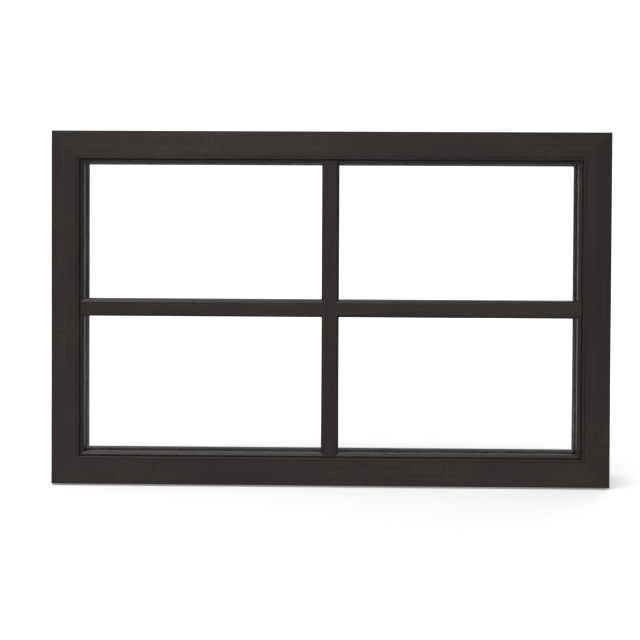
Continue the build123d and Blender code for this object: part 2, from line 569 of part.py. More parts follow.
with BuildPart() as leaf_screws:
    for _, sign in SIDES:
        for z in LEAF_SCREW_Z:
            rod("y", BACK_Y - LEAF_SCREW_L, BACK_Y + LEAF_T, (sign * LEAF_SCREW_X, z), SCREW_R)
            rod("y", BACK_Y + LEAF_T, BACK_Y + LEAF_T + SCREW_HEAD_T, (sign * LEAF_SCREW_X, z), SCREW_HEAD_R)
    chamfer(leaf_screws.faces().filter_by(Axis.Y).sort_by(Axis.Y)[-6:].edges(), length=SCREW_HEAD_CHAMFER)
finish(leaf_screws.part, "leaf_screws")

# --- crank operator: base plate, housing, worm shaft and crank ----------------------------------------------
PLATE_FRONT = FRONT_Y + PLATE_MARGIN
with BuildPart() as base_plate:
    with BuildSketch(Plane.XY.offset(SILL_T)):
        with Locations((0, (PLATE_FRONT + HOUSING_FRONT) / 2)):
            Rectangle(PLATE_W, HOUSING_FRONT - PLATE_FRONT)
        with Locations(*[(x, y) for x in (-PLATE_SCREW_X, PLATE_SCREW_X) for y in PLATE_SCREW_Y]):
            Circle(SCREW_R, mode=Mode.SUBTRACT)
    extrude(amount=PLATE_T)
    fillet(base_plate.edges().filter_by(Axis.Z).group_by(Axis.Y)[0], radius=PLATE_R)
    block((-WORM_WINDOW_W / 2, WORM_WINDOW_W / 2), (PIVOT_Y - PLATE_SCREW_FRONT, HOUSING_FRONT),
          (SILL_T, SILL_T + PLATE_T), mode=Mode.SUBTRACT)
    for sign in (-1, 1):
        gear = (sign * MESH_DISTANCE, PIVOT_Y)
        arm_z = (DRIVE_Z - END_PLAY, DRIVE_Z + DRIVE_T + END_PLAY)
        rod("z", SILL_T + PLATE_T, arm_z[0], gear, STUD_R + STEP_W)
        rod("z", arm_z[0], arm_z[1], gear, STUD_R)
        rod("z", arm_z[1], LINK_Z - 3 * END_PLAY, gear, STUD_R + CAP_W)
finish(base_plate.part, "operator_base")

with BuildPart() as housing:
    block((-HOUSING_W / 2, HOUSING_W / 2), HOUSING_Y, (SILL_T, SILL_T + HOUSING_H))
    fillet(housing.edges().filter_by(Axis.Z), radius=HOUSING_CORNER_R)
    fillet(housing.faces().sort_by(Axis.Z)[-1].edges(), radius=HOUSING_TOP_R)
    rod("y", HOUSING_Y[0], HOUSING_Y[1], (0, WORM_Z), SHAFT_R + RUN_FIT, mode=Mode.SUBTRACT)
    for sign in (-1, 1):
        rod("z", SILL_T, SILL_T + HOUSING_H, (sign * HOUSING_SCREW_X, HOUSING_SCREW_Y), SCREW_R,
            mode=Mode.SUBTRACT)
finish(housing.part, "operator_housing")

with BuildPart() as operator_screws:
    for sign in (-1, 1):
        for y in PLATE_SCREW_Y:
            place = (sign * PLATE_SCREW_X, y)
            rod("z", SILL_T - SILL_SCREW_L, SILL_T + PLATE_T, place, SCREW_R)
            rod("z", SILL_T + PLATE_T, SILL_T + PLATE_T + PLATE_HEAD_T, place, SCREW_HEAD_R)
        place = (sign * HOUSING_SCREW_X, HOUSING_SCREW_Y)
        rod("z", SILL_T - SILL_SCREW_L, SILL_T + HOUSING_H, place, SCREW_R)
        rod("z", SILL_T + HOUSING_H, SILL_T + HOUSING_H + HOUSING_HEAD_T, place, SCREW_HEAD_R)
finish(operator_screws.part, "operator_screws")

# Worm: an off-centre round section that turns once in each thread pitch, on a plain shaft.
# The thread's groove faces the left gear at the gears' own y.
worm_start = PIVOT_Y - WORM_LEN / 2
start_turn = radians(360.0 * (worm_start - PIVOT_Y) / PITCH)
thread_centre = (WORM_WAVE * cos(start_turn), worm_start, WORM_Z - WORM_WAVE * sin(start_turn))
thread_section = Wire(Edge.make_circle(WORM_MEAN_R, Plane(origin=thread_centre, z_dir=(0, 1, 0))))
thread = Solid.extrude_linear_with_rotation(
    thread_section, center=(0, worm_start, WORM_Z), normal=(0, WORM_LEN, 0),
    angle=360.0 * WORM_LEN / PITCH)
with BuildPart() as worm_shaft:
    add(thread)
    rod("y", PIVOT_Y + WORM_LEN / 2, CRANK_Y + CRANK_HUB_L, (0, WORM_Z), SHAFT_R)
finish(worm_shaft.part, "worm_shaft")

with BuildPart() as crank_arm:
    rod("y", CRANK_Y, CRANK_Y + CRANK_HUB_L, (0, WORM_Z), CRANK_HUB_R)
    with BuildSketch(Plane.XZ.offset(-BLADE_Y)):
        with Locations((CRANK_REACH / 2, WORM_Z)):
            SlotCenterToCenter(CRANK_REACH, CRANK_W)
        with Locations((0, WORM_Z)):
            Circle(CRANK_HUB_R)
        with Locations((CRANK_REACH, WORM_Z)):
            Circle(CRANK_TIP_R)
    extrude(amount=-CRANK_T)
    fillet(crank_arm.faces().filter_by(Axis.Y).sort_by(Axis.Y)[-1].edges(), radius=CRANK_R)
    rod("y", BLADE_Y + CRANK_T, BLADE_Y + CRANK_T + KNOB_L + KNOB_PIN_PROUD, (CRANK_REACH, WORM_Z), SHAFT_R)
    rod("y", CRANK_Y, CRANK_Y + CRANK_HUB_L, (0, WORM_Z), SHAFT_R, mode=Mode.SUBTRACT)
    rod("z", WORM_Z, WORM_Z + CRANK_HUB_R + CUT_OVERRUN, (0, SET_SCREW_Y), SET_SCREW_R, mode=Mode.SUBTRACT)
finish(crank_arm.part, "crank_arm")

with BuildPart() as set_screw:
    rod("z", WORM_Z + SHAFT_R, WORM_Z + SHAFT_R + SET_SCREW_L, (0, SET_SCREW_Y), SET_SCREW_R)
finish(set_screw.part, "crank_set_screw")

knob_foot = BLADE_Y + CRANK_T + KNOB_GAP
with BuildPart() as knob:
    with BuildSketch(Plane(origin=(CRANK_REACH, knob_foot, WORM_Z), x_dir=(1, 0, 0), z_dir=(0, 0, 1))):
        with BuildLine():
            Polyline((SHAFT_R + RUN_FIT, 0), (KNOB_FOOT_R, 0))
            Spline((KNOB_FOOT_R, 0), (KNOB_WAIST_R, KNOB_L * 0.35), (KNOB_R, KNOB_L * 0.75),
                   (KNOB_TOP_R, KNOB_L))
            Polyline((KNOB_TOP_R, KNOB_L), (SHAFT_R + RUN_FIT, KNOB_L), (SHAFT_R + RUN_FIT, 0))
        make_face()
    revolve(axis=Axis((CRANK_REACH, knob_foot, WORM_Z), (0, 1, 0)))
finish(knob.part, "crank_knob")

# --- drive arms with toothed sectors, links, and the carrier hung on the sash ---------------------------
def sector_teeth(sign):
    """Angles of one sector's teeth. The left sector has a tooth at the mesh point, the right a gap."""
    if sign < 0:
        return [n * TOOTH_ANGLE for n in range(-SECTOR_BACK, SECTOR_FRONT + 1)]
    return [180.0 - (n + 0.5) * TOOTH_ANGLE for n in range(-SECTOR_BACK - 1, SECTOR_FRONT)]


for side, sign in SIDES:
    gear_x = sign * MESH_DISTANCE
    elbow = (sign * ELBOW_X, PIVOT_Y)
    teeth = sector_teeth(sign)
    first = min(teeth) - TOOTH_ANGLE / 2
    last = max(teeth) + TOOTH_ANGLE / 2
    hub = Vector(gear_x, PIVOT_Y)
    rim = [hub + Vector(ROOT_R, 0).rotate(Axis.Z, angle) for angle in (first, (first + last) / 2, last)]
    with BuildPart() as drive_arm:
        with BuildSketch(Plane.XY.offset(DRIVE_Z)):
            with Locations(((gear_x + elbow[0]) / 2, PIVOT_Y)):
                SlotCenterToCenter(ARM_L, DRIVE_W)
            with BuildLine():
                Line(hub, rim[0])
                ThreePointArc(*rim)
                Line(rim[2], hub)
            make_face()
            with Locations(*[Location(hub, (0, 0, angle)) for angle in teeth]):
                Polygon((ROOT_R - TOOTH_SINK, -TOOTH_ROOT_W / 2), (ROOT_R, -TOOTH_ROOT_W / 2),
                        (TIP_R, -TOOTH_TIP_W / 2), (TIP_R, TOOTH_TIP_W / 2), (ROOT_R, TOOTH_ROOT_W / 2),
                        (ROOT_R - TOOTH_SINK, TOOTH_ROOT_W / 2), align=None)
            with Locations(hub):
                Circle(HUB_R)
                Circle(STUD_R + RUN_FIT, mode=Mode.SUBTRACT)
        extrude(amount=DRIVE_T)
        link_z = (LINK_Z - END_PLAY, LINK_Z + DRIVE_T + END_PLAY)
        rod("z", DRIVE_Z + DRIVE_T, link_z[0], elbow, STUD_R + COLLAR_W)
        rod("z", link_z[0], link_z[1], elbow, STUD_R - COLLAR_W)
        rod("z", link_z[1], link_z[1] + COLLAR_W, elbow, STUD_R + COLLAR_W)
    finish(drive_arm.part, f"drive_arm_{side}")

    with BuildPart() as link:
        with BuildSketch(Plane.XY.offset(LINK_Z)):
            with Locations(((gear_x + elbow[0]) / 2, PIVOT_Y)):
                SlotCenterToCenter(ARM_L, DRIVE_W)
            with Locations((gear_x, PIVOT_Y)):
                Circle(STUD_R - COLLAR_W + RUN_FIT, mode=Mode.SUBTRACT)
            with Locations(elbow):
                Circle(STUD_R - COLLAR_W + RUN_FIT, mode=Mode.SUBTRACT)
        extrude(amount=DRIVE_T)
    finish(link.part, f"link_{side}")

CARRIER_Z = LINK_Z + DRIVE_T + COLLAR_W
with BuildPart() as carrier:
    block((-CARRIER_HALF, CARRIER_HALF), (PIVOT_Y - CARRIER_D / 2, PIVOT_Y + CARRIER_D / 2),
          (CARRIER_Z, CARRIER_Z + CARRIER_T))
    fillet(carrier.edges().filter_by(Axis.Z), radius=CARRIER_R)
    block((-LUG_FACE, LUG_FACE), (PIVOT_Y - WEB_T / 2, PIVOT_Y + WEB_T / 2), (CARRIER_Z, LOW_PIVOT_Z))
    rod("x", -LUG_FACE, LUG_FACE, (PIVOT_Y, LOW_PIVOT_Z), BARREL_R)
    rod("x", -LUG_END, LUG_END, (PIVOT_Y, LOW_PIVOT_Z), HINGE_PIN_R)
    for sign in (-1, 1):
        stud = (sign * MESH_DISTANCE, PIVOT_Y)
        rod("z", LINK_Z + DRIVE_T + END_PLAY, CARRIER_Z, stud, STUD_R + COLLAR_W)
        rod("z", LINK_Z - END_PLAY, LINK_Z + DRIVE_T + END_PLAY, stud, STUD_R - COLLAR_W)
finish(carrier.part, "link_carrier")

with BuildPart() as bracket:
    block((-LUG_END, LUG_END), (BACK_Y, BACK_Y + LEAF_T),
          (LOW_PIVOT_Z - BRACKET_DROP, LOW_PIVOT_Z + BRACKET_RISE))
    for sign in (-1, 1):
        x = (sign * (CARRIER_HALF + LUG_FIT), sign * LUG_END)
        block(x, (BACK_Y, PIVOT_Y), (LOW_PIVOT_Z - LUG_R, LOW_PIVOT_Z + LUG_R))
        rod("x", x[0], x[1], (PIVOT_Y, LOW_PIVOT_Z), LUG_R)
        rod("y", BACK_Y, BACK_Y + LEAF_T, (sign * BRACKET_SCREW_X, BRACKET_SCREW_Z), SCREW_R,
            mode=Mode.SUBTRACT)
    rod("x", -LUG_END, LUG_END, (PIVOT_Y, LOW_PIVOT_Z), HINGE_PIN_R + RUN_FIT, mode=Mode.SUBTRACT)
finish(bracket.part, "sash_bracket")

with BuildPart() as bracket_screws:
    for sign in (-1, 1):
        place = (sign * BRACKET_SCREW_X, BRACKET_SCREW_Z)
        rod("y", BACK_Y - LEAF_SCREW_L, BACK_Y + LEAF_T, place, SCREW_R)
        rod("y", BACK_Y + LEAF_T, BACK_Y + LEAF_T + SCREW_HEAD_T, place, SCREW_HEAD_R)
finish(bracket_screws.part, "bracket_screws")
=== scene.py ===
import json
from math import radians

import bpy
from mathutils import Matrix, Vector


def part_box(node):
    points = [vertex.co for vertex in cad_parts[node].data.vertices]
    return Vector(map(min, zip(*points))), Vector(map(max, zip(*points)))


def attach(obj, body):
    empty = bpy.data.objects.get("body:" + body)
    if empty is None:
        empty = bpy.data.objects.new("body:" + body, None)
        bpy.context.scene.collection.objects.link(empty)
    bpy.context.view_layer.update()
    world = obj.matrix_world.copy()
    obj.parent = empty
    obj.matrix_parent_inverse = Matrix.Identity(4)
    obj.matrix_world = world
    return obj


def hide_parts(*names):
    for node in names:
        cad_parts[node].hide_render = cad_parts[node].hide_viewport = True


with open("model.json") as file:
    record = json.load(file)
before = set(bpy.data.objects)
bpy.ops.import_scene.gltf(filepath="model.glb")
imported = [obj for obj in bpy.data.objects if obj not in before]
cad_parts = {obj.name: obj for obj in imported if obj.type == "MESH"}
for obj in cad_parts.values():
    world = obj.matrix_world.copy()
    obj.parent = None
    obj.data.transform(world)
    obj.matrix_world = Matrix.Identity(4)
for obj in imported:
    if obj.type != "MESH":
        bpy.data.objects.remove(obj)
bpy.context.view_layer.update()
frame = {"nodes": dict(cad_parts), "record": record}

bl_info = {
    "name": "Crank Awning Window",
    "version": (1, 0, 0),
    "blender": (4, 5, 0),
    "location": "View3D > Sidebar > Window",
    "description": "Finishes, seals, fasteners and crank of a top-hung window with divided lights",
    "category": "Object",
}

MM = 0.001
LEVEL_PIECES = ("_top", "_bottom", "bar_left", "bar_right")

# Texture scale along each axis of a piece, so that its marks run lengthwise
ALONG_X = (0.035, 1.0, 1.0)
ALONG_Z = (1.0, 1.0, 0.035)

# Finishes
DUST = (0.048, 0.041, 0.036)
GREYED_ZINC = (0.34, 0.30, 0.23)
SPACER_FOAM = (0.0095, 0.0080, 0.0072)
SEAL_RUBBER = (0.012, 0.012, 0.012)
SLIDE_NYLON = (0.020, 0.020, 0.020)
OPERATOR_COATING = (0.030, 0.024, 0.021)
KNOB_PLASTIC = (0.018, 0.015, 0.014)
GLASS_TINT = (0.985, 0.995, 0.990, 1.0)
PAPER = (0.56, 0.56, 0.555)
PAPER_GLOW = 0.26
COATING_SPECULAR = 0.20
TIMBER_SPECULAR = 0.12
TIMBER_ROUGHNESS = 0.66
FRAME_ROUGHNESS = 0.52

# Gasket
RUN_HALF = 3.0 * MM         # a run's centre line from the gasket's outer edge
RUN_OUT = 9.0 * MM          # an upright run's centre line past the jamb's inner face
RUN_START = 2.1             # start of an upright run above the gasket's foot, in RUN_HALF
BULB_HALF = 2.9 * MM        # half width of the bulb

# Screws
SCREW_REACH = 9.0 * MM      # all points of one screw lie this near to its first one
HEAD_T = {"leaf_screws": 1.8, "bracket_screws": 1.8, "operator_screws": 0.8, "track_screws": 1.0}
COVER_HEAD_T = 2.0 * MM     # head of the screws that hold the cover
SHANK_R = 2.0 * MM
HEAD_SIDES = 28
RECESS_TURN = 22            # degrees
RECESS_SPAN = 1.15          # recess length and width, in head radii
RECESS_WIDTH = 0.24

# Operator cover and its boss
COVER_RIM = 3.5 * MM
COVER_DISH = 0.8 * MM
COVER_SOFT = 1.4 * MM
BOSS_R = 7.2 * MM
BOSS_L = 3.0 * MM
BOSS_LIP = 1.2 * MM
BOSS_THROAT = 2.8 * MM
BOSS_DEPTH = 1.6 * MM

# Crank and knob
HUB_R = 9.0 * MM
HUB_L = 12.0 * MM
HUB_ROUND = 1.4 * MM
HUB_RIM = 4.4 * MM          # wall round the bore that shows the shaft's end
HUB_BORE = 0.6 * MM
BLADE_ROOT = (8.0 * MM, 6.0 * MM, 13.0 * MM)
BLADE = ((0.30, 0.90, 0.95), (0.55, 0.86, 0.92), (0.80, 0.88, 0.96), (0.92, 1.12, 1.0),
         (1.0, 1.16, 1.0), (1.075, 0.66, 0.9))  # share of the reach, height and thickness factors
PIN_R = 3.0 * MM
PIN_START = 4.0 * MM
PIN_ROUND = 0.8 * MM
KNOB_R = 9.0 * MM
KNOB_RIM = 1.2 * MM
KNOB_WALL = 1.9 * MM
KNOB_BORE = 3.5 * MM        # everything nearer to the axis is the bore

# Stage. A lamp has its place, the point it aims at, and its size
KEY_LAMP = ((-0.6, -1.0, 1.9), (0.0, 0.0, 0.45), (2.4, 1.3))
FILL_LAMP = ((1.1, -1.7, 3.0), (0.0, 0.0, 0.3), (2.2, 1.6))
REAR_LAMP = ((0.0, 1.6, 3.2), (0.0, 4.6, 0.4), (4.5, 1.6))
SKY_COLOUR = (1.0, 0.985, 0.97, 1.0)
SENSOR_W = 36.0
FLOOR_R = 4.6
FLOOR_RIM = 0.2
WALL = ((0.35, 0.04), (0.32, 0.12), (0.28, 0.22), (0.20, 0.30), (0.12, 0.36), (0.04, 0.40),
        (0.0, 2.2))  # how far each step of the wall goes out and up

GROUPS = {}    # shared node groups by short name
FINISHES = {}  # materials by slot and "level" or "upright"


# ---------------------------------------------------------------- settings
class FinishSettings(bpy.types.PropertyGroup):
    """Colours and gloss of the window's finishes, and the painted shade on the upright members' coating."""

    coating: bpy.props.FloatVectorProperty(
        name="Coating", description="Dark bronze coating of the sash and its bars",
        default=(0.0165, 0.0118, 0.0112), subtype="COLOR", min=0.0, max=1.0)
    # Painted shade: this factor darkens the upright members' coating, standing in for the less light their
    # faces catch from the lamp above
    upright_painted_shade: bpy.props.FloatProperty(
        name="Upright tone", description="How much light the upright members' coating keeps",
        default=0.85, min=0.0, max=1.5)
    coating_roughness: bpy.props.FloatProperty(
        name="Coating roughness", description="Satin level of the coating",
        default=0.44, min=0.0, max=1.0, subtype="FACTOR")
    timber: bpy.props.FloatVectorProperty(
        name="Timber", description="Stained timber of the cores and stops",
        default=(0.030, 0.0158, 0.0098), subtype="COLOR", min=0.0, max=1.0)
    frame_timber: bpy.props.FloatVectorProperty(
        name="Frame timber", description="Painted timber of the fixed frame",
        default=(0.020, 0.0145, 0.0125), subtype="COLOR", min=0.0, max=1.0)
    zinc: bpy.props.FloatVectorProperty(
        name="Zinc plate", description="Plated steel of the hinges and the operator's arms",
        default=(0.50, 0.49, 0.46), subtype="COLOR", min=0.0, max=1.0)


class HardwareSettings(bpy.types.PropertyGroup):
    """Sizes of the small pieces that are modelled here."""

    bulb_sides: bpy.props.IntProperty(
        name="Gasket sides", description="Sides of the gasket's round bulb",
        default=20, min=8, max=48)
    bulb_foot: bpy.props.FloatProperty(
        name="Gasket foot", description="Height of the bulb's centre above its flat foot, in radii",
        default=0.45, min=0.0, max=1.0)
    recess_depth: bpy.props.FloatProperty(
        name="Recess depth", description="Depth of the cross recess in a screw head",
        default=1.1 * MM, unit="LENGTH")
    cover_bevel: bpy.props.FloatProperty(
        name="Cover rounding", description="Rounding of the operator cover's edges",
        default=4.5 * MM, unit="LENGTH")


class StageSettings(bpy.types.PropertyGroup):
    """Camera and studio light."""

    eye: bpy.props.FloatVectorProperty(
        name="Eye", description="Where the camera stands", default=(0.010, -1.900, 0.473),
        subtype="TRANSLATION", unit="LENGTH")
    turn: bpy.props.FloatVectorProperty(
        name="Turn", description="Pitch, roll and yaw of the camera from a level look along Y",
        default=(radians(-0.967), radians(-0.272), radians(0.862)),
        subtype="EULER", unit="ROTATION")
    lens: bpy.props.FloatProperty(
        name="Lens", description="Focal length in millimetres", default=62.7, min=10.0)
    rise: bpy.props.FloatProperty(
        name="Rise", description="Vertical lens shift", default=-0.16)
    key: bpy.props.FloatProperty(
        name="Key light", description="Power of the soft light above",
        default=60.0, min=0.0, unit="POWER")
    fill: bpy.props.FloatProperty(
        name="Fill light", description="Power of the soft light high in front",
        default=12.0, min=0.0, unit="POWER")
    back: bpy.props.FloatProperty(
        name="Back light", description="Power of the light on the backdrop",
        default=330.0, min=0.0, unit="POWER")
    sky: bpy.props.FloatProperty(
        name="Sky", description="Strength of the even light all round", default=0.32, min=0.0)


# ---------------------------------------------------------------- node groups
def new_group(name, inputs, outputs):
    """Shader node group with float inputs and named outputs, and its two end nodes."""
    group = bpy.data.node_groups.new(name, "ShaderNodeTree")
    for label, value in inputs:
        kind = "NodeSocketVector" if value is None else "NodeSocketFloat"
        socket = group.interface.new_socket(name=label, in_out="INPUT", socket_type=kind)
        if value is not None:
            socket.default_value = value
    for label in outputs:
        group.interface.new_socket(name=label, in_out="OUTPUT", socket_type="NodeSocketFloat")
    return group, group.nodes.new("NodeGroupInput"), group.nodes.new("NodeGroupOutput")


def add_node(tree, kind, links=(), **settings):
    """Node with settings, and links given as (socket name, source socket or value)."""
    node = tree.nodes.new(kind)
    for key, value in settings.items():
        setattr(node, key, value)
    for socket, source in links:
        if isinstance(source, bpy.types.NodeSocket):
            tree.links.new(source, node.inputs[socket])
        else:
            node.inputs[socket].default_value = source
    return node


def ramp(tree, source, low, high):
    """Value pulled to 0 at low and to 1 at high."""
    node = add_node(tree, "ShaderNodeMapRange", [("Value", source), ("From Min", low), ("From Max", high)],
                    interpolation_type="SMOOTHSTEP")
    return node.outputs["Result"]


def streak_group():
    """Fine lengthwise drawing marks: a mask of streaks and a height for a bump."""
    group, start, end = new_group("lengthwise_streaks", [("Vector", None), ("Scale", 60.0)],
                                  ["Streaks", "Height"])
    wide = add_node(group, "ShaderNodeTexNoise", [("Vector", start.outputs["Vector"]),
                                                  ("Scale", start.outputs["Scale"]), ("Detail", 4.0)])
    scale = add_node(group, "ShaderNodeMath", [(0, start.outputs["Scale"]), (1, 5.0)], operation="MULTIPLY")
    fine = add_node(group, "ShaderNodeTexNoise", [("Vector", start.outputs["Vector"]),
                                                  ("Scale", scale.outputs[0]), ("Detail", 3.0)])
    both = add_node(group, "ShaderNodeMath", [(0, wide.outputs["Fac"]), (1, fine.outputs["Fac"])],
                    operation="MULTIPLY")
    group.links.new(ramp(group, both.outputs[0], 0.12, 0.42), end.inputs["Streaks"])
    group.links.new(fine.outputs["Fac"], end.inputs["Height"])
    return group


def patch_group():
    """Cloudy patches where dust and handling have dulled a surface."""
    group, start, end = new_group("dull_patches", [("Vector", None), ("Scale", 9.0), ("Amount", 0.5)],
                                  ["Patches"])
    cloud = add_node(group, "ShaderNodeTexNoise", [("Vector", start.outputs["Vector"]),
                                                   ("Scale", start.outputs["Scale"]), ("Detail", 6.0),
                                                   ("Roughness", 0.62)])
    speck = add_node(group, "ShaderNodeTexNoise", [("Vector", start.outputs["Vector"]), ("Scale", 260.0),
                                                   ("Detail", 2.0)])
    mixed = add_node(group, "ShaderNodeMath", [(0, ramp(group, cloud.outputs["Fac"], 0.42, 0.68)),
                                               (1, ramp(group, speck.outputs["Fac"], 0.35, 0.75))],
                     operation="MULTIPLY")
    out = add_node(group, "ShaderNodeMath", [(0, mixed.outputs[0]), (1, start.outputs["Amount"])],
                   operation="MULTIPLY")
    group.links.new(out.outputs[0], end.inputs["Patches"])
    return group


def peel_group():
    """The fine orange peel of a sprayed or moulded surface, as a height."""
    group, start, end = new_group("orange_peel", [("Vector", None), ("Scale", 900.0)], ["Height"])
    cells = add_node(group, "ShaderNodeTexVoronoi", [("Vector", start.outputs["Vector"]),
                                                     ("Scale", start.outputs["Scale"])],
                     feature="SMOOTH_F1")
    group.links.new(cells.outputs["Distance"], end.inputs["Height"])
    return group


def placed_group(tree, name, vector, **values):
    """One of the shared groups, placed in a material with its own values."""
    node = tree.nodes.new("ShaderNodeGroup")
    node.node_tree = GROUPS[name]
    tree.links.new(vector, node.inputs["Vector"])
    for label, value in values.items():
        node.inputs[label.capitalize()].default_value = value
    return node


# ---------------------------------------------------------------- materials
def material_start(name, stretch=(1.0, 1.0, 1.0)):
    """Empty material, its shader, and object coordinates scaled along each axis."""
    material = bpy.data.materials.new(name)
    material.use_nodes = True
    tree = material.node_tree
    shader = tree.nodes["Principled BSDF"]
    place = tree.nodes.new("ShaderNodeTexCoord")
    mapping = add_node(tree, "ShaderNodeMapping", [("Vector", place.outputs["Object"]), ("Scale", stretch)])
    return material, tree, shader, mapping.outputs["Vector"]


def mix_colours(tree, factor, first, second):
    """Colour between two colours; each is a socket or a plain RGB value."""
    node = tree.nodes.new("ShaderNodeMix")
    node.data_type = "RGBA"
    tree.links.new(factor, node.inputs["Factor"])
    for socket, value in ((node.inputs[6], first), (node.inputs[7], second)):
        if isinstance(value, bpy.types.NodeSocket):
            tree.links.new(value, socket)
        else:
            socket.default_value = (*value[:3], 1.0)
    return node.outputs[2]


def link_bump(tree, shader, height, strength, distance):
    """Bump of a height on the shader's normal."""
    bump = add_node(tree, "ShaderNodeBump", [("Height", height), ("Strength", strength),
                                             ("Distance", distance)])
    tree.links.new(bump.outputs["Normal"], shader.inputs["Normal"])


def roughness_between(tree, shader, mask, low, high):
    """Roughness from low to high as a mask goes from 0 to 1."""
    node = add_node(tree, "ShaderNodeMapRange", [("Value", mask), ("To Min", low), ("To Max", high)])
    tree.links.new(node.outputs["Result"], shader.inputs["Roughness"])


def shade(colour, factor):
    """The colour made lighter or darker."""
    return tuple(channel * factor for channel in colour)


def coated_metal(name, stretch, colour, roughness):
    """Satin coating with faint drawing marks, a fine peel and a little settled dust."""
    material, tree, shader, vector = material_start(name, stretch)
    streaks = placed_group(tree, "streaks", vector, scale=34.0)
    place = tree.nodes["Texture Coordinate"].outputs["Object"]
    patches = placed_group(tree, "patches", place, scale=7.0, amount=0.30)
    base = mix_colours(tree, streaks.outputs["Streaks"], shade(colour, 0.82), shade(colour, 1.18))
    dusty = mix_colours(tree, patches.outputs["Patches"], base, DUST)
    tree.links.new(dusty, shader.inputs["Base Color"])
    roughness_between(tree, shader, patches.outputs["Patches"], roughness, roughness + 0.26)
    shader.inputs["Specular IOR Level"].default_value = COATING_SPECULAR
    peel = placed_group(tree, "peel", place, scale=850.0)
    height = add_node(tree, "ShaderNodeMath", [(0, peel.outputs["Height"]),
                                               (1, streaks.outputs["Height"])], operation="ADD")
    link_bump(tree, shader, height.outputs[0], 0.16, 0.08 * MM)
    return material


def grained_timber(name, stretch, colour, roughness):
    """Stained timber: rings drawn out along the piece, fine pores and a satin lacquer."""
    material, tree, shader, vector = material_start(name, stretch)
    rings = add_node(tree, "ShaderNodeTexWave", [("Vector", vector), ("Scale", 16.0), ("Distortion", 5.5),
                                                 ("Detail", 3.0), ("Detail Scale", 1.6)],
                     wave_type="BANDS", bands_direction="DIAGONAL")
    pores = placed_group(tree, "streaks", vector, scale=150.0)
    grain = add_node(tree, "ShaderNodeMath", [(0, ramp(tree, rings.outputs["Fac"], 0.15, 0.95)), (1, 0.72)],
                     operation="MULTIPLY")
    base = mix_colours(tree, grain.outputs[0], shade(colour, 1.30), shade(colour, 0.62))
    pored = mix_colours(tree, pores.outputs["Streaks"], base, shade(colour, 0.42))
    tree.links.new(pored, shader.inputs["Base Color"])
    roughness_between(tree, shader, pores.outputs["Streaks"], roughness, roughness + 0.18)
    shader.inputs["Specular IOR Level"].default_value = TIMBER_SPECULAR
    link_bump(tree, shader, pores.outputs["Height"], 0.30, 0.08 * MM)
    return material


def plated_steel(name, stretch, colour):
    """Dull zinc plate: rolled streaks, a faint warm passivation and greyed patches."""
    material, tree, shader, vector = material_start(name, stretch)
    streaks = placed_group(tree, "streaks", vector, scale=70.0)
    place = tree.nodes["Texture Coordinate"].outputs["Object"]
    patches = placed_group(tree, "patches", place, scale=38.0, amount=0.85)
    base = mix_colours(tree, streaks.outputs["Streaks"], shade(colour, 0.78), shade(colour, 1.06))
    aged = mix_colours(tree, patches.outputs["Patches"], base, GREYED_ZINC)
    tree.links.new(aged, shader.inputs["Base Color"])
    shader.inputs["Metallic"].default_value = 1.0
    roughness_between(tree, shader, streaks.outputs["Streaks"], 0.30, 0.50)
    link_bump(tree, shader, streaks.outputs["Height"], 0.22, 0.05 * MM)
    return material


def moulded(name, colour, roughness, scale):
    """Moulded rubber or plastic with a fine texture and slight bloom."""
    material, tree, shader, vector = material_start(name)
    patches = placed_group(tree, "patches", vector, scale=26.0, amount=0.7)
    base = mix_colours(tree, patches.outputs["Patches"], colour, shade(colour, 2.1))
    tree.links.new(base, shader.inputs["Base Color"])
    roughness_between(tree, shader, patches.outputs["Patches"], roughness, roughness + 0.15)
    peel = placed_group(tree, "peel", vector, scale=scale)
    link_bump(tree, shader, peel.outputs["Height"], 0.25, 0.06 * MM)
    return material


def float_glass(name):
    """Clear glass with a slight film of dust that only shows in its gloss."""
    material, tree, shader, vector = material_start(name)
    patches = placed_group(tree, "patches", vector, scale=5.0, amount=0.5)
    shader.inputs["Base Color"].default_value = GLASS_TINT
    shader.inputs["Transmission Weight"].default_value = 1.0
    shader.inputs["IOR"].default_value = 1.45
    shader.inputs["Specular IOR Level"].default_value = 0.22
    roughness_between(tree, shader, patches.outputs["Patches"], 0.0, 0.03)
    return material


def plain_stage(name, colour):
    """Matt paper of the backdrop, faintly lit from within so that its far side stays pale."""
    material = bpy.data.materials.new(name)
    material.use_nodes = True
    shader = material.node_tree.nodes["Principled BSDF"]
    shader.inputs["Base Color"].default_value = (*colour, 1.0)
    shader.inputs["Roughness"].default_value = 0.95
    shader.inputs["Specular IOR Level"].default_value = 0.1
    shader.inputs["Emission Color"].default_value = (1.0, 1.0, 0.99, 1.0)
    shader.inputs["Emission Strength"].default_value = PAPER_GLOW
    return material


def finish_of(node, finishes):
    """Material of one CAD node, by its slot and the way it runs."""
    slot = next(part["material_slot"] for part in frame["record"]["subparts"] if part["node"] == node)
    level = node in ("sill", "head") or node.endswith(LEVEL_PIECES) or node.startswith(("link", "drive"))
    return finishes[slot, "level" if level else "upright"]


# ---------------------------------------------------------------- modelling helpers
def start_clean():
    """Nothing selected and object mode, ready for the next piece."""
    if bpy.context.object and bpy.context.object.mode != "OBJECT":
        bpy.ops.object.mode_set(mode="OBJECT")
    bpy.ops.object.select_all(action="DESELECT")


def select_faces(test):
    """In edit mode, select only the faces whose centre and normal pass the test."""
    bpy.ops.mesh.select_mode(type="FACE")
    bpy.ops.mesh.select_all(action="DESELECT")
    bpy.ops.object.mode_set(mode="OBJECT")
    mesh = bpy.context.object.data
    for face in mesh.polygons:
        face.select = test(face.center, face.normal)
    bpy.ops.object.mode_set(mode="EDIT")


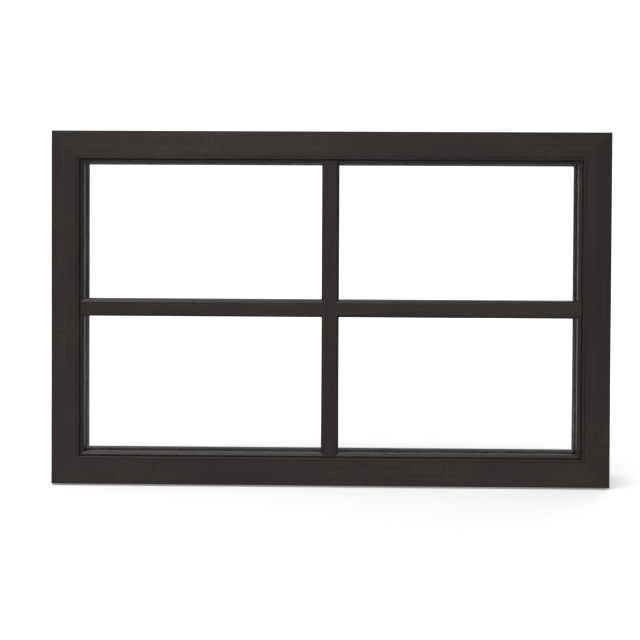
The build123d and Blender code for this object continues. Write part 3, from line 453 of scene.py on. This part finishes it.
def select_edges(test):
    """In edit mode, select only the edges whose two ends both pass the test."""
    bpy.ops.mesh.select_mode(type="EDGE")
    bpy.ops.mesh.select_all(action="DESELECT")
    bpy.ops.object.mode_set(mode="OBJECT")
    mesh = bpy.context.object.data
    for edge in mesh.edges:
        edge.select = all(test(mesh.vertices[index].co) for index in edge.vertices)
    bpy.ops.object.mode_set(mode="EDIT")


def apply_modifiers(piece):
    """Apply every modifier of the piece in order."""
    bpy.context.view_layer.objects.active = piece
    for modifier in list(piece.modifiers):
        bpy.ops.object.modifier_apply(modifier=modifier.name)


def settle(piece, name, material, body, nodes):
    """Name the piece, put its place into its mesh, hand it to its body and hide the CAD nodes it stands in
    for.
    """
    start_clean()
    piece.select_set(True)
    bpy.context.view_layer.objects.active = piece
    bpy.ops.object.transform_apply(location=True, rotation=True, scale=True)
    piece.name = name
    piece.data.name = name
    piece.data.materials.clear()
    piece.data.materials.append(material)
    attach(piece, body)
    if nodes:
        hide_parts(*nodes)
    return piece


def join(pieces):
    """Several objects as one."""
    start_clean()
    for piece in pieces:
        piece.select_set(True)
    bpy.context.view_layer.objects.active = pieces[0]
    bpy.ops.object.join()
    return pieces[0]


# ---------------------------------------------------------------- operators
class WINDOW_OT_finishes(bpy.types.Operator):
    """Build the finishes and put them on every frame piece"""

    bl_idname = "window.finishes"
    bl_label = "Finishes"

    def execute(self, context):
        look = context.scene.window_finish
        GROUPS.update(streaks=streak_group(), patches=patch_group(), peel=peel_group())
        for way, stretch in (("level", ALONG_X), ("upright", ALONG_Z)):
            # Painted shade: the upright members get a darker copy of the coating, for the light they do not
            # catch
            painted_shade = look.upright_painted_shade if way == "upright" else 1.0
            FINISHES["sash_paint", way] = coated_metal(
                f"coating_{way}", stretch, shade(look.coating, painted_shade), look.coating_roughness)
            FINISHES["frame_paint", way] = grained_timber(
                f"frame_timber_{way}", stretch, look.frame_timber, FRAME_ROUGHNESS)
            FINISHES["timber", way] = grained_timber(
                f"timber_{way}", stretch, look.timber, TIMBER_ROUGHNESS)
            FINISHES["steel", way] = plated_steel(f"zinc_{way}", stretch, look.zinc)
        shared = {
            "glass": float_glass("float_glass"),
            "spacer": moulded("spacer_foam", SPACER_FOAM, 0.80, 1400.0),
            "rubber": moulded("seal_rubber", SEAL_RUBBER, 0.62, 1400.0),
            "nylon": moulded("slide_nylon", SLIDE_NYLON, 0.42, 900.0),
            "operator_paint": coated_metal("operator_coating", ALONG_X, OPERATOR_COATING, 0.40),
            "knob_plastic": moulded("knob_plastic", KNOB_PLASTIC, 0.36, 700.0),
        }
        for slot, material in shared.items():
            for way in ("level", "upright"):
                FINISHES[slot, way] = material
        for name, piece in frame["nodes"].items():
            piece.data.materials.clear()
            piece.data.materials.append(finish_of(name, FINISHES))
        return {"FINISHED"}


class WINDOW_OT_gasket(bpy.types.Operator):
    """Model the bulb gasket that seals the sash back"""

    bl_idname = "window.gasket"
    bl_label = "Bulb gasket"

    def execute(self, context):
        low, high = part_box("sash_gasket")
        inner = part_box("jamb_right")[0][0]
        side = inner + RUN_OUT
        start = low[2] + RUN_START * RUN_HALF
        top_ends = [abs(v.co.x) for v in frame["nodes"]["sash_gasket"].data.vertices
                    if v.co.z > high[2] - MM and abs(v.co.x) < inner]
        runs = (("X", low[2] + RUN_HALF, low[0], high[0]),
                ("X", high[2] - RUN_HALF, -max(top_ends), max(top_ends)),
                ("Z", -side, start, high[2]),
                ("Z", side, start, high[2]))
        pieces = [self.run(context, *run, low[1], high[1] - low[1]) for run in runs]
        settle(join(pieces), "bulb_gasket", FINISHES["rubber", "level"], "sash", ["sash_gasket"])
        return {"FINISHED"}

    def run(self, context, axis, offset, start, end, back, depth):
        """One straight run: a round bulb cut flat at its foot and drawn out along its axis."""
        start_clean()
        hardware = context.scene.window_hardware
        level = axis == "X"
        radius = depth / (1 + hardware.bulb_foot)
        middle = back + depth - radius
        place = (start, middle, offset) if level else (offset, middle, start)
        bpy.ops.mesh.primitive_circle_add(vertices=hardware.bulb_sides, radius=radius, fill_type="NGON",
                                          location=place, rotation=(0, radians(90) if level else 0, 0))
        piece = context.object
        bpy.ops.object.transform_apply(location=True, rotation=True, scale=False)
        bpy.ops.object.mode_set(mode="EDIT")
        bpy.ops.mesh.select_all(action="SELECT")
        bpy.ops.mesh.bisect(plane_co=(0, back, 0), plane_no=(0, -1, 0), clear_outer=True)
        bpy.ops.mesh.select_all(action="SELECT")
        spread = BULB_HALF / radius
        across = (1.0, 1.0, spread) if level else (spread, 1.0, 1.0)
        bpy.ops.transform.resize(value=across, center_override=place)
        move = (end - start, 0, 0) if level else (0, 0, end - start)
        bpy.ops.mesh.extrude_region_move(TRANSFORM_OT_translate={"value": move})
        bpy.ops.mesh.select_all(action="SELECT")
        bpy.ops.mesh.normals_make_consistent(inside=False)
        bpy.ops.object.mode_set(mode="OBJECT")
        bpy.ops.object.shade_smooth_by_angle(angle=radians(50))
        return piece


class WINDOW_OT_screws(bpy.types.Operator):
    """Model the cross-recessed screws of the hinges, bracket and operator"""

    bl_idname = "window.screws"
    bl_label = "Screws"

    def execute(self, context):
        sets = (("leaf_screws", "Y", "sash"), ("bracket_screws", "Y", "sash"),
                ("operator_screws", "Z", "frame"), ("track_screws", "X", "frame"))
        for node, axis, body in sets:
            made = []
            for place, radius, length, head, sign in self.screws_in(node, axis):
                made.append(self.screw(context, place, radius, length, head, axis, sign))
            settle(join(made), f"cross_{node}", FINISHES["steel", "upright"], body, [node])
        return {"FINISHED"}

    def screws_in(self, node, axis):
        """Head end, radius, length, head height and outward sign of each screw in a CAD node."""
        mesh = frame["nodes"][node].data
        index = "XYZ".index(axis)
        others = [i for i in range(3) if i != index]
        groups = []
        for vertex in mesh.vertices:
            flat = Vector((vertex.co[others[0]], vertex.co[others[1]]))
            for group in groups:
                same_side = axis != "X" or group["points"][0][0] * vertex.co.x > 0
                if same_side and (group["flat"] - flat).length < SCREW_REACH:
                    group["points"].append(vertex.co.copy())
                    break
            else:
                groups.append({"flat": flat, "points": [vertex.co.copy()]})
        for group in groups:
            points = group["points"]
            low = [min(p[i] for p in points) for i in range(3)]
            high = [max(p[i] for p in points) for i in range(3)]
            centre = [(a + b) / 2 for a, b in zip(low, high)]
            sign = 1.0 if axis != "X" else (-1.0 if centre[0] > 0 else 1.0)
            end = high[index] if sign > 0 else low[index]
            radius = (high[others[0]] - low[others[0]]) / 2
            head = HEAD_T[node] * MM
            if node == "operator_screws" and high[2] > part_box("operator_housing")[1][2]:
                head = COVER_HEAD_T
            centre[index] = end
            yield Vector(centre), radius, high[index] - low[index], head, sign

    def screw(self, context, place, radius, length, head, axis, sign):
        """One screw: a domed head with a cross recess, and a plain shank in its hole."""
        start_clean()
        bpy.ops.mesh.primitive_cylinder_add(vertices=HEAD_SIDES, radius=radius, depth=head,
                                            location=(0, 0, -head / 2))
        piece = context.object
        bpy.ops.object.transform_apply(location=True, rotation=False, scale=False)
        bpy.ops.object.mode_set(mode="EDIT")
        select_faces(lambda centre, normal: normal.z > 0.9)
        bpy.ops.mesh.bevel(offset=min(head * 0.45, radius * 0.22), segments=3, affect="EDGES")
        select_faces(lambda centre, normal: normal.z < -0.9)
        bpy.ops.mesh.inset(thickness=radius - SHANK_R)
        bpy.ops.mesh.extrude_region_move(TRANSFORM_OT_translate={"value": (0, 0, head - length)})
        bpy.ops.object.mode_set(mode="OBJECT")
        depth = min(context.scene.window_hardware.recess_depth, head * 0.7)
        for angle in (0, 90):
            start_clean()
            bpy.ops.mesh.primitive_cube_add(size=1.0, rotation=(0, 0, radians(angle + RECESS_TURN)))
            cutter = context.object
            cutter.scale = (radius * RECESS_SPAN, radius * RECESS_WIDTH, depth * 2)
            start_clean()
            piece.select_set(True)
            context.view_layer.objects.active = piece
            cut = piece.modifiers.new("recess", "BOOLEAN")
            cut.operation = "DIFFERENCE"
            cut.object = cutter
            cut.solver = "EXACT"
            apply_modifiers(piece)
            bpy.data.objects.remove(cutter)
        bpy.ops.object.shade_smooth_by_angle(angle=radians(35))
        turn = {"Z": Matrix.Identity(4), "Y": Matrix.Rotation(radians(-90), 4, "X"),
                "X": Matrix.Rotation(radians(90 * sign), 4, "Y")}[axis]
        piece.matrix_world = Matrix.Translation(place) @ turn
        return piece


class WINDOW_OT_cover(bpy.types.Operator):
    """Model the operator's cast cover, with its boss round the crank shaft"""

    bl_idname = "window.cover"
    bl_label = "Operator cover"

    def execute(self, context):
        low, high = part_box("operator_housing")
        shaft_low, shaft_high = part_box("worm_shaft")
        axis_z = (shaft_low[2] + shaft_high[2]) / 2
        centre = [(a + b) / 2 for a, b in zip(low, high)]
        size = [b - a for a, b in zip(low, high)]
        start_clean()
        bpy.ops.mesh.primitive_cube_add(size=1.0, location=centre, scale=size)
        piece = context.object
        bpy.ops.object.transform_apply(location=True, rotation=False, scale=True)
        bpy.ops.object.mode_set(mode="EDIT")
        bevel = context.scene.window_hardware.cover_bevel
        select_edges(lambda p: p.z > high[2] - MM and p.y < low[1] + MM)
        bpy.ops.mesh.bevel(offset=bevel * 1.6, segments=6, affect="EDGES")
        select_faces(lambda c, n: n.y > 0.95)
        bpy.ops.mesh.inset(thickness=COVER_RIM)
        bpy.ops.transform.translate(value=(0, -COVER_DISH, 0))
        bpy.ops.object.mode_set(mode="OBJECT")
        soften = piece.modifiers.new("edges", "BEVEL")
        soften.width = COVER_SOFT
        soften.segments = 3
        soften.limit_method = "ANGLE"
        soften.angle_limit = radians(40)
        apply_modifiers(piece)
        boss = self.boss(context, axis_z, high[1])
        cover = join([piece, boss])
        bpy.ops.object.shade_smooth_by_angle(angle=radians(38))
        settle(cover, "cast_cover", FINISHES["operator_paint", "level"], "frame", ["operator_housing"])
        return {"FINISHED"}

    def boss(self, context, axis_z, face_y):
        """Turned collar round the shaft, flush with the cover's rear face."""
        start_clean()
        bpy.ops.mesh.primitive_cylinder_add(vertices=40, radius=BOSS_R, depth=BOSS_L,
                                            location=(0, face_y - BOSS_L / 2, axis_z),
                                            rotation=(radians(90), 0, 0))
        collar = context.object
        bpy.ops.object.transform_apply(location=True, rotation=True, scale=False)
        bpy.ops.object.mode_set(mode="EDIT")
        select_faces(lambda c, n: n.y > 0.9)
        bpy.ops.mesh.inset(thickness=BOSS_LIP)
        bpy.ops.mesh.inset(thickness=BOSS_THROAT)
        bpy.ops.mesh.extrude_region_move(TRANSFORM_OT_translate={"value": (0, -BOSS_DEPTH, 0)})
        bpy.ops.object.mode_set(mode="OBJECT")
        return collar


class WINDOW_OT_crank(bpy.types.Operator):
    """Model the crank: hub, tapered blade rounded by subdivision, and the knob's pin"""

    bl_idname = "window.crank"
    bl_label = "Crank arm"

    def execute(self, context):
        low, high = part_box("crank_arm")
        knob_low, knob_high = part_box("crank_knob")
        shaft_low, shaft_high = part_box("worm_shaft")
        axis_z = (shaft_low[2] + shaft_high[2]) / 2
        reach = (knob_low[0] + knob_high[0]) / 2
        front = low[1]
        start_clean()
        bpy.ops.mesh.primitive_cylinder_add(vertices=32, radius=HUB_R, depth=HUB_L,
                                            location=(0, front + HUB_L / 2, axis_z),
                                            rotation=(radians(90), 0, 0))
        hub = context.object
        bpy.ops.object.transform_apply(location=True, rotation=True, scale=False)
        bpy.ops.object.mode_set(mode="EDIT")
        select_faces(lambda c, n: abs(n.y) > 0.9)
        bpy.ops.mesh.bevel(offset=HUB_ROUND, segments=4, affect="EDGES")
        select_faces(lambda c, n: n.y > 0.99 and c.y > front + HUB_L - 0.1 * MM)
        bpy.ops.mesh.inset(thickness=HUB_RIM)
        bpy.ops.mesh.extrude_region_move(TRANSFORM_OT_translate={"value": (0, -HUB_BORE, 0)})
        bpy.ops.object.mode_set(mode="OBJECT")
        start_clean()
        bpy.ops.mesh.primitive_cube_add(
            size=1.0, location=(BLADE_ROOT[0] / 2, front + HUB_L / 2, axis_z), scale=BLADE_ROOT)
        arm = context.object
        bpy.ops.object.transform_apply(location=True, rotation=False, scale=True)
        bpy.ops.object.mode_set(mode="EDIT")
        for share, tall, thick in BLADE:
            edge = max(v.co.x for v in arm.data.vertices)
            select_faces(lambda c, n: c.x > edge - 0.01 * MM and n.x > 0.9)
            bpy.ops.mesh.extrude_region_move(
                TRANSFORM_OT_translate={"value": (share * reach - edge, 0, 0)})
            bpy.ops.transform.resize(value=(1.0, thick, tall))
            bpy.ops.object.mode_set(mode="OBJECT")
            bpy.ops.object.mode_set(mode="EDIT")
        bpy.ops.object.mode_set(mode="OBJECT")
        smooth = arm.modifiers.new("smooth", "SUBSURF")
        smooth.levels = smooth.render_levels = 3
        apply_modifiers(arm)
        start_clean()
        top = high[1] - front
        bpy.ops.mesh.primitive_cylinder_add(vertices=24, radius=PIN_R, depth=top - PIN_START,
                                            location=(reach, front + (top + PIN_START) / 2, axis_z),
                                            rotation=(radians(90), 0, 0))
        pin = context.object
        bpy.ops.object.transform_apply(location=True, rotation=True, scale=False)
        bpy.ops.object.mode_set(mode="EDIT")
        select_faces(lambda c, n: n.y > 0.9)
        bpy.ops.mesh.bevel(offset=PIN_ROUND, segments=3, affect="EDGES")
        bpy.ops.object.mode_set(mode="OBJECT")
        crank = join([hub, arm, pin])
        bpy.ops.object.shade_smooth_by_angle(angle=radians(40))
        settle(crank, "swept_crank", FINISHES["operator_paint", "level"], "crank", ["crank_arm"])
        return {"FINISHED"}


class WINDOW_OT_knob(bpy.types.Operator):
    """Model the waisted knob: a bored cylinder shaped ring by ring"""

    bl_idname = "window.knob"
    bl_label = "Crank knob"
    shape = (0.70, 0.74, 0.74, 0.78, 0.86, 0.94, 0.99, 0.99, 0.92, 0.72)

    def execute(self, context):
        low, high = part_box("crank_knob")
        length = high[1] - low[1]
        x, z = (low[0] + high[0]) / 2, (low[2] + high[2]) / 2
        start_clean()
        bpy.ops.mesh.primitive_cylinder_add(vertices=40, radius=KNOB_R, depth=length,
                                            location=(x, low[1] + length / 2, z),
                                            rotation=(radians(90), 0, 0))
        knob = context.object
        bpy.ops.object.transform_apply(location=True, rotation=True, scale=False)
        bpy.ops.object.mode_set(mode="EDIT")
        rings = len(self.shape) - 1
        for ring in range(1, rings):
            bpy.ops.mesh.select_all(action="SELECT")
            bpy.ops.mesh.bisect(plane_co=(0, low[1] + length * ring / rings, 0), plane_no=(0, 1, 0))
        for ring, share in enumerate(self.shape):
            level = low[1] + length * ring / rings
            select_edges(lambda p: abs(p.y - level) < 0.1 * MM)
            bpy.ops.transform.resize(value=(share, 1.0, share), center_override=(x, level, z))
        select_faces(lambda c, n: abs(n.y) > 0.98)
        bpy.ops.mesh.inset(thickness=KNOB_RIM)
        bpy.ops.mesh.inset(thickness=KNOB_WALL)
        bpy.ops.mesh.delete(type="FACE")
        select_edges(lambda p: Vector((p.x - x, 0, p.z - z)).length < KNOB_BORE)
        bpy.ops.mesh.bridge_edge_loops()
        bpy.ops.mesh.select_all(action="SELECT")
        bpy.ops.mesh.normals_make_consistent(inside=False)
        bpy.ops.object.mode_set(mode="OBJECT")
        bpy.ops.object.shade_smooth_by_angle(angle=radians(45))
        settle(knob, "waisted_knob", FINISHES["knob_plastic", "level"], "knob", ["crank_knob"])
        return {"FINISHED"}


class WINDOW_OT_stage(bpy.types.Operator):
    """Set up the backdrop, the soft light and the camera"""

    bl_idname = "window.stage"
    bl_label = "Stage"

    def execute(self, context):
        look = context.scene.window_stage
        self.backdrop(context)
        self.light("key_light", look.key, *KEY_LAMP)
        self.light("fill_light", look.fill, *FILL_LAMP)
        self.light("rear_light", look.back, *REAR_LAMP)
        world = bpy.data.worlds.new("studio")
        world.use_nodes = True
        background = world.node_tree.nodes["Background"]
        background.inputs["Color"].default_value = SKY_COLOUR
        background.inputs["Strength"].default_value = look.sky
        context.scene.world = world
        context.scene.view_settings.view_transform = "Standard"
        data = bpy.data.cameras.new("camera")
        data.lens = look.lens
        data.sensor_width = SENSOR_W
        data.shift_y = look.rise
        camera = bpy.data.objects.new("camera", data)
        bpy.context.collection.objects.link(camera)
        pitch, roll, yaw = look.turn
        turn = (Matrix.Rotation(yaw, 4, "Z") @ Matrix.Rotation(pitch, 4, "X")
                @ Matrix.Rotation(roll, 4, "Y") @ Matrix.Rotation(radians(90), 4, "X"))
        camera.matrix_world = Matrix.Translation(look.eye) @ turn
        context.scene.camera = camera
        return {"FINISHED"}

    def backdrop(self, context):
        """Round pale floor that curves up into a low wall all round."""
        start_clean()
        bpy.ops.mesh.primitive_circle_add(vertices=96, radius=FLOOR_R, fill_type="NGON")
        floor = context.object
        bpy.ops.object.mode_set(mode="EDIT")
        bpy.ops.mesh.select_all(action="SELECT")
        bpy.ops.mesh.inset(thickness=FLOOR_RIM)
        bpy.ops.mesh.select_all(action="SELECT")
        radius = FLOOR_R
        for out, up in WALL:
            bpy.ops.mesh.select_mode(type="EDGE")
            bpy.ops.mesh.region_to_loop()
            bpy.ops.mesh.extrude_edges_move(TRANSFORM_OT_translate={"value": (0, 0, up)})
            factor = (radius + out) / radius
            bpy.ops.transform.resize(value=(factor, factor, 1.0))
            radius += out
            bpy.ops.object.mode_set(mode="OBJECT")
            bpy.ops.object.mode_set(mode="EDIT")
            bpy.ops.mesh.select_all(action="DESELECT")
            bpy.ops.object.mode_set(mode="OBJECT")
            top = max(v.co.z for v in floor.data.vertices)
            for edge in floor.data.edges:
                edge.select = all(floor.data.vertices[i].co.z > top - 1e-5 for i in edge.vertices)
            bpy.ops.object.mode_set(mode="EDIT")
        bpy.ops.object.mode_set(mode="OBJECT")
        bpy.ops.object.shade_smooth()
        floor.name = "backdrop"
        floor.data.materials.append(plain_stage("paper", PAPER))

    def light(self, name, power, place, target, size):
        """Rectangular soft light aimed at a point."""
        data = bpy.data.lights.new(name, "AREA")
        data.shape = "RECTANGLE"
        data.size, data.size_y = size
        data.energy = power
        lamp = bpy.data.objects.new(name, data)
        bpy.context.collection.objects.link(lamp)
        lamp.visible_camera = False
        lamp.visible_transmission = False
        lamp.visible_glossy = name == "key_light"
        lamp.location = place
        aim = Vector(target) - Vector(place)
        lamp.rotation_euler = aim.to_track_quat("-Z", "Y").to_euler()


class WINDOW_PT_sidebar(bpy.types.Panel):
    """Settings and steps of the window"""

    bl_idname = "WINDOW_PT_sidebar"
    bl_label = "Crank Awning Window"
    bl_space_type = "VIEW_3D"
    bl_region_type = "UI"
    bl_category = "Window"

    def draw(self, context):
        layout = self.layout
        for group in ("window_finish", "window_hardware", "window_stage"):
            settings = getattr(context.scene, group)
            box = layout.box()
            for name in settings.bl_rna.properties.keys():
                if name not in ("rna_type", "name"):
                    box.prop(settings, name)
        for step in STEPS:
            layout.operator(step.bl_idname)


STEPS = (WINDOW_OT_finishes, WINDOW_OT_gasket, WINDOW_OT_screws, WINDOW_OT_cover, WINDOW_OT_crank,
         WINDOW_OT_knob, WINDOW_OT_stage)
CLASSES = (FinishSettings, HardwareSettings, StageSettings, *STEPS, WINDOW_PT_sidebar)


def register():
    """Register the classes and hang the settings on the scene."""
    for item in CLASSES:
        bpy.utils.register_class(item)
    bpy.types.Scene.window_finish = bpy.props.PointerProperty(type=FinishSettings)
    bpy.types.Scene.window_hardware = bpy.props.PointerProperty(type=HardwareSettings)
    bpy.types.Scene.window_stage = bpy.props.PointerProperty(type=StageSettings)


def unregister():
    """Take the settings off the scene and unregister the classes."""
    del bpy.types.Scene.window_finish
    del bpy.types.Scene.window_hardware
    del bpy.types.Scene.window_stage
    for item in reversed(CLASSES):
        bpy.utils.unregister_class(item)


def main():
    """Run every step in order."""
    register()
    bpy.ops.window.finishes()
    bpy.ops.window.gasket()
    bpy.ops.window.screws()
    bpy.ops.window.cover()
    bpy.ops.window.crank()
    bpy.ops.window.knob()
    bpy.ops.window.stage()


if __name__ == "__main__":
    main()
